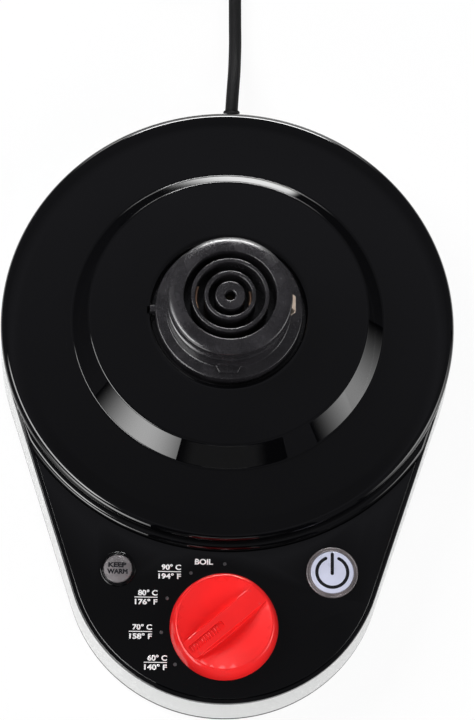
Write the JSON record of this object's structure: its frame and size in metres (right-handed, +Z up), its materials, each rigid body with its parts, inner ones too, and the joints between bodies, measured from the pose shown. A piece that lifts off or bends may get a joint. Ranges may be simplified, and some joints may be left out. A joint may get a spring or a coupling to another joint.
{
  "type": "kettle power base",
  "caption": "Teardrop electric kettle power base with a round cordless socket on a raised seat, a temperature dial, push buttons, a silver band and a mains cord.",
  "frame": {"origin": "on the table, under the middle of the casing", "axes": "+Z up, -Y towards the controls, +Y towards the cord, +X to the right seen from the controls"},
  "size_m": [0.1945, 0.3774, 0.06],
  "materials": {
    "gloss_black": "high gloss moulded black",
    "silver_band": "satin silver",
    "matte_black": "fine textured black",
    "socket_plastic": "satin dark grey, lightly scuffed",
    "foot_rubber": "matte rubber",
    "cord_rubber": "matte black sheath",
    "screw_steel": "zinc plated",
    "contact_copper": "copper alloy",
    "pin_brass": "drawn brass",
    "dial_red": "satin gloss red",
    "clear_ring": "frosted clear",
    "power_face": "frosted white",
    "warm_face": "frosted grey",
    "indicator": "clear, unlit",
    "switch_black": "moulded",
    "plunger_white": "moulded",
    "board_green": "solder mask",
    "relay_blue": "moulded",
    "transformer_tape": "taped",
    "capacitor_sleeve": "sleeved",
    "terminal_green": "moulded",
    "wire_insulation": "insulated"
  },
  "bodies": {
    "base": {"upper_housing": "gloss_black", "kettle_platform": "gloss_black", "control_panel": "gloss_black", "skirt_band": "silver_band", "bottom_cover": "matte_black", "cord_clamp": "matte_black", "socket_back": "matte_black", "socket_nose": "socket_plastic", "contact_carrier": "socket_plastic", "centre_guide": "socket_plastic", "rubber_feet": "foot_rubber", "cord_gland": "cord_rubber", "cord_lead": "cord_rubber", "cord_coil": "cord_rubber", "cord_tie": "cord_rubber", "plug_body": "cord_rubber", "housing_screws": "screw_steel", "platform_screws": "screw_steel", "socket_screws": "screw_steel", "control_screws": "screw_steel", "power_screws": "screw_steel", "clamp_screws": "screw_steel", "live_contact": "contact_copper", "neutral_contact": "contact_copper", "earth_spring": "contact_copper", "centre_contact": "pin_brass", "plug_blades": "pin_brass", "plug_earth_pin": "pin_brass", "power_bezel": "clear_ring", "warm_bezel": "clear_ring", "indicator_lenses": "indicator", "indicator_leds": "indicator", "selector_switch": "switch_black", "power_switch": "switch_black", "warm_switch": "switch_black", "board_connectors": "plunger_white", "control_board": "board_green", "power_board": "board_green", "relay": "relay_blue", "transformer": "transformer_tape", "capacitor": "capacitor_sleeve", "terminal_block": "terminal_green", "mains_wires": "wire_insulation", "socket_wires": "wire_insulation", "ribbon_cable": "wire_insulation"},
    "dial": {"temperature_knob": "dial_red", "selector_shaft": "screw_steel"},
    "power_key": {"power_button": "power_face", "power_plunger": "plunger_white"},
    "warm_key": {"warm_button": "warm_face", "warm_plunger": "plunger_white"}
  },
  "joints": [
    {"name": "dial_turn", "type": "hinge", "parent": "base", "child": "dial", "pos_m": [0, -0.0865, 0.031], "axis": [0, 0, -1], "range_deg": [0, 131]},
    {"name": "power_press", "type": "slide", "parent": "base", "child": "power_key", "axis": [0, 0, -1], "range_m": [0, 0.0008], "stiffness_N_per_m": 400, "springref_m": -0.002},
    {"name": "warm_press", "type": "slide", "parent": "base", "child": "warm_key", "axis": [0, 0, -1], "range_m": [0, 0.0008], "stiffness_N_per_m": 400, "springref_m": -0.002}
  ]
}
